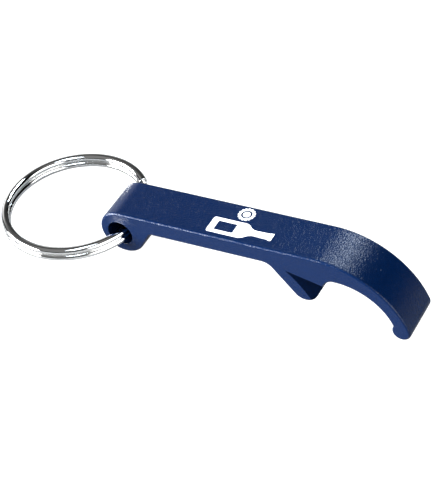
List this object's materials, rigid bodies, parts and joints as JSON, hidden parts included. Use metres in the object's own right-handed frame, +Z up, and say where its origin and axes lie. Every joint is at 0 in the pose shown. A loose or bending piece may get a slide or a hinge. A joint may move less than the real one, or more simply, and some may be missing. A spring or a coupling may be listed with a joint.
{
  "type": "keychain bottle opener",
  "caption": "Keychain bottle opener: slim dark blue anodised aluminium lever with a cap tooth and hooked nose, threaded through its eye by a steel split ring.",
  "frame": {"origin": "on the surface the opener stands on, below the middle of its length, on the lever's mid-plane", "axes": "+X from the key ring towards the hooked nose, +Y across the lever, +Z up"},
  "size_m": [0.0888, 0.03, 0.0137],
  "materials": {
    "anodised_aluminium": "satin dark blue anodising",
    "nickel_steel": "bright nickel plating",
    "print_ink": "matt white printed ink"
  },
  "bodies": {
    "opener": {"opener_body": "anodised_aluminium"},
    "ring": {"split_ring": "nickel_steel"}
  },
  "joints": [
    {"name": "ring_swing", "type": "hinge", "parent": "opener", "child": "ring", "pos_m": [-0.0162, 0, 0.00451], "axis": [0, 1, 0], "range_deg": [-177, 165]}
  ]
}
